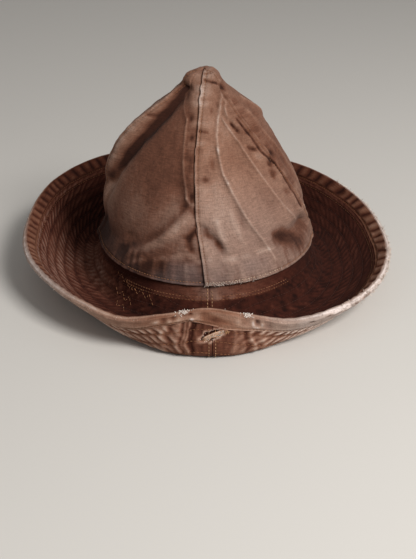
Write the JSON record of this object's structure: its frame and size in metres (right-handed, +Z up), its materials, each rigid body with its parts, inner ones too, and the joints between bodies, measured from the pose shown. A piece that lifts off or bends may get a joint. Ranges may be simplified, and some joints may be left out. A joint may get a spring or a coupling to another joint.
{
  "type": "sou-wester hat",
  "caption": "Soft cotton rain hat: a tall pointed crown of lapped gores on a wide stitched brim that is turned up all round like a dish and ends in a folded hem.",
  "frame": {"origin": "middle of the bottom of the hat's box, on the surface that the hat rests on", "axes": "+Z up through the tip of the crown, -Y towards the front, where the brim stands steepest, +X to the right as seen from the front"},
  "size_m": [0.2996, 0.2984, 0.1736],
  "materials": {
    "crown_cloth": "faded cotton twill, worn pale on its ridges",
    "brim_upper_cloth": "cotton twill, dark and unfaded",
    "brim_under_cloth": "faded cotton twill",
    "hem_cloth": "faded cotton twill, worn at the edge"
  },
  "bodies": {
    "root": {"crown_front_right": "crown_cloth", "crown_back_right": "crown_cloth", "crown_back_left": "crown_cloth", "crown_front_left": "crown_cloth", "brim_upper_right": "brim_upper_cloth", "brim_upper_left": "brim_upper_cloth", "brim_under_right": "brim_under_cloth", "brim_under_left": "brim_under_cloth", "brim_hem": "hem_cloth"}
  },
  "joints": []
}
